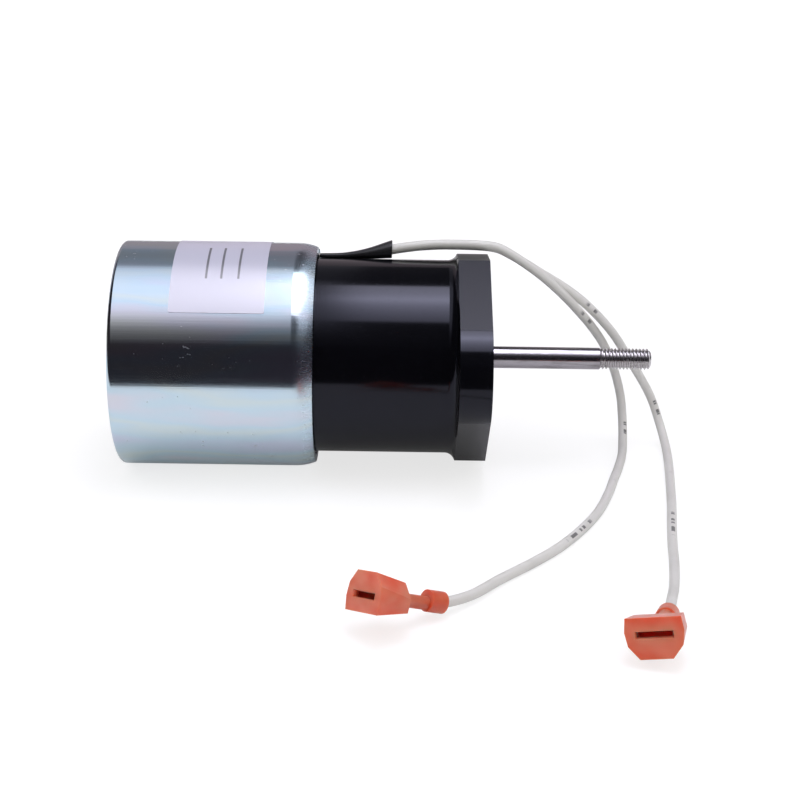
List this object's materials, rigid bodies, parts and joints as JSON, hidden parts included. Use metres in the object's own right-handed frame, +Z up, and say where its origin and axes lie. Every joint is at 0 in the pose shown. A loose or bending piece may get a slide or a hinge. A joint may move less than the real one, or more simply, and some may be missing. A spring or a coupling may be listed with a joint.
{
  "type": "solenoid actuator",
  "caption": "Tubular pull solenoid with a drawn steel can, black flanged front housing, spring-returned rod with threaded tip and flying leads with insulated push-on terminals.",
  "frame": {"origin": "on the plunger's axis, in the flange's mounting face", "axes": "+X along the rod, away from the housing; +Z up, with the can lying on its side on a level surface"},
  "size_m": [0.1272, 0.1291, 0.0509],
  "materials": {
    "zinc_steel": "bright zinc plate with a faint iridescent passivation",
    "soft_iron": "turned and lightly oiled",
    "brass": "drawn",
    "fibre_board": "pressed fibre",
    "bobbin_nylon": "moulded nylon",
    "copper_wire": "enamelled copper",
    "coil_tape": "polyester tape",
    "black_housing": "turned aluminium, glossy black",
    "black_rubber": "moulded rubber",
    "thin_lead": "thin wall insulation",
    "shrink_sleeve": "shrunk polyolefin",
    "ivory_lead": "extruded insulation with small ink ticks",
    "red_nylon": "translucent moulded nylon",
    "tinned_brass": "tinned strip",
    "bronze": "sintered",
    "spring_steel": "drawn",
    "ground_steel": "ground and polished"
  },
  "bodies": {
    "case": {"can_shell": "zinc_steel", "pole_piece": "soft_iron", "residual_shim": "brass", "rear_insulator": "fibre_board", "coil_bobbin": "bobbin_nylon", "coil_winding": "copper_wire", "winding_tape": "coil_tape", "guide_tube": "brass", "flux_plate": "soft_iron", "front_housing": "black_housing", "lead_grommet": "black_rubber", "coil_leads": "thin_lead", "heat_shrink": "shrink_sleeve", "lead_wire_a": "ivory_lead", "lead_wire_b": "ivory_lead", "terminal_housing_a": "red_nylon", "terminal_contact_a": "tinned_brass", "terminal_housing_b": "red_nylon", "terminal_contact_b": "tinned_brass", "rod_bushing": "bronze", "rod_wiper": "black_rubber", "wiper_retainer": "zinc_steel", "stop_bumper": "black_rubber", "return_spring": "spring_steel"},
    "slider": {"plunger": "soft_iron", "plunger_rod": "ground_steel", "cross_pin": "spring_steel", "spring_seat": "zinc_steel", "seat_clip": "spring_steel"}
  },
  "joints": [
    {"name": "plunger_slide", "type": "slide", "parent": "case", "child": "slider", "axis": [1, 0, 0], "range_m": [-0.016, 0], "stiffness_N_per_m": 600, "springref_m": 0.012, "deforming": ["return_spring"]}
  ]
}
